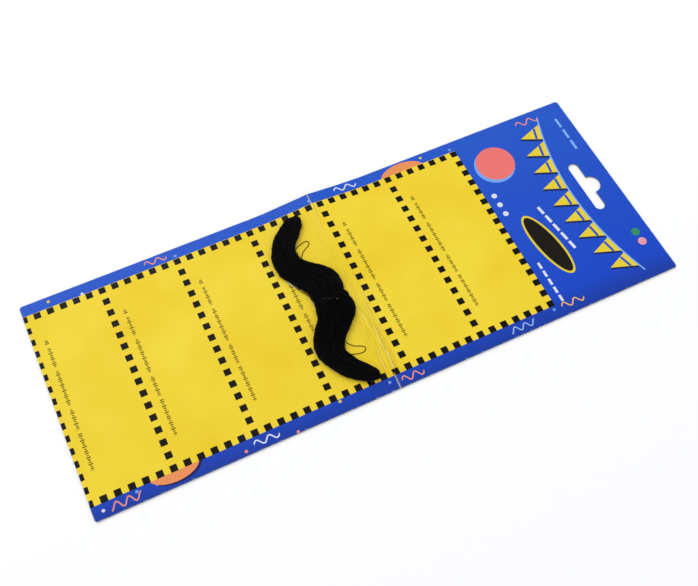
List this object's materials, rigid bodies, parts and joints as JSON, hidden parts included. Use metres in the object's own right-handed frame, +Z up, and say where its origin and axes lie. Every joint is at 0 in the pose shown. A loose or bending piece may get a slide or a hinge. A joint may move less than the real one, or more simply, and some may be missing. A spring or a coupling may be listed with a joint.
{
  "type": "fake moustache on a display card",
  "caption": "Wavy black plush moustache with a self-adhesive back, stapled to a long hanging card with a hang slot.",
  "frame": {"origin": "middle of the card's back, in the plane that the card rests on", "axes": "+X along the card towards its hang slot, +Y across the card and along the moustache's span, +Z up out of the printed face"},
  "size_m": [0.314, 0.12, 0.0057],
  "materials": {
    "printed_card": "glossy varnish over print, uncoated back",
    "release_paper": "siliconised, satin",
    "adhesive": "clear tacky film",
    "black_plush": "short combed synthetic pile",
    "staple_wire": "galvanised"
  },
  "bodies": {
    "root": {"display_card": "printed_card", "backing_paper": "release_paper", "adhesive_film": "adhesive", "plush_moustache": "black_plush", "staple": "staple_wire"}
  },
  "joints": []
}
